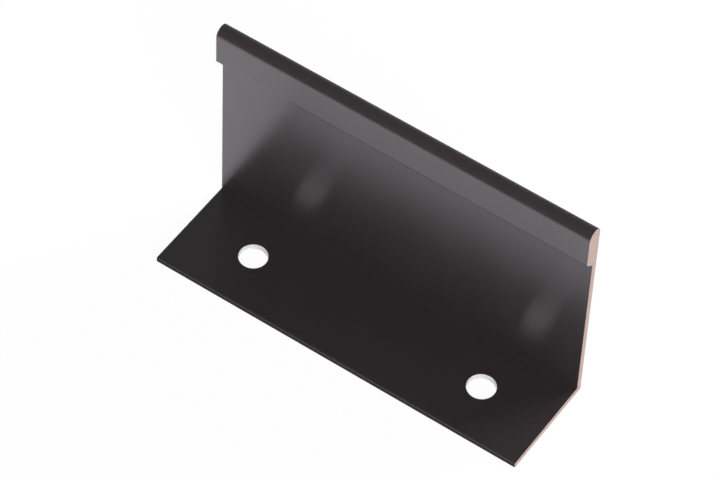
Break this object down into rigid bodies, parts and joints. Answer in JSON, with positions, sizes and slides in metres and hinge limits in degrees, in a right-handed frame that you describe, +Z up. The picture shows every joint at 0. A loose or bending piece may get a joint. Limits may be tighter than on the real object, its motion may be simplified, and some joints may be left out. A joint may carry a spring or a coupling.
{
  "type": "finger pull profile",
  "caption": "Short sawn length of an extruded L-shaped finger pull profile with a thick rounded lip along its web and screw holes in its flange.",
  "frame": {"origin": "middle of the box's underside: midway along the length and across the depth, on the plane of the flange's underside that the piece stands on", "axes": "+X along the length of the extrusion, +Y across the depth from the flange's front edge to the web's back face, +Z up the web to the lip"},
  "size_m": [0.1, 0.0274, 0.06],
  "materials": {
    "black_coated_aluminium": "satin"
  },
  "bodies": {
    "root": {"pull_profile": "black_coated_aluminium"}
  },
  "joints": []
}
